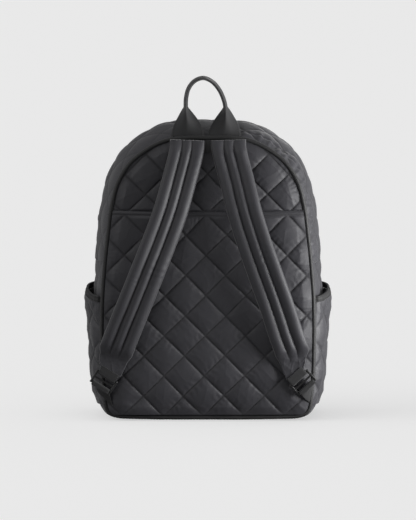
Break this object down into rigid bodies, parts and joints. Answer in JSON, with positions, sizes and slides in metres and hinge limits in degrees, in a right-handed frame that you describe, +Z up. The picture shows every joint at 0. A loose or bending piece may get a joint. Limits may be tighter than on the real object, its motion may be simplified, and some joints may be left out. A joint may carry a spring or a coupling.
{
  "type": "quilted puffer backpack",
  "caption": "Quilted puffer daypack standing on its base: padded panels, piped seams, domed zip gusset, side pockets, channelled shoulder straps, luggage sleeve and folded webbing handle.",
  "frame": {"origin": "centre of the base where the bag stands on the floor", "axes": "+Z up; -Y is the harness side with the shoulder straps, +Y the front; +X to the right seen from the harness side"},
  "size_m": [0.3314, 0.2176, 0.4602],
  "materials": {
    "nylon": "dull satin quilted nylon",
    "strap": "satin padded nylon",
    "piping": "dull",
    "webbing": "matte grosgrain webbing",
    "binding": "matte elastic",
    "zip": "matte tape with a coil chain",
    "plastic": "satin moulded"
  },
  "bodies": {
    "root": {"back_panel": "nylon", "luggage_sleeve": "nylon", "front_panel": "nylon", "gusset_upper_rear": "nylon", "gusset_upper_front": "nylon", "gusset_lower": "nylon", "side_pocket_left": "nylon", "side_pocket_right": "nylon", "back_piping": "piping", "front_piping": "piping", "pocket_binding_left": "binding", "pocket_binding_right": "binding", "main_zip": "zip", "zip_slider": "plastic", "shoulder_strap_left": "strap", "shoulder_strap_right": "strap", "strap_webbing_left": "webbing", "strap_webbing_right": "webbing", "ladder_lock_left": "plastic", "ladder_lock_right": "plastic", "lower_webbing_left": "webbing", "lower_webbing_right": "webbing", "strap_patch": "webbing", "carry_handle": "webbing"}
  },
  "joints": []
}
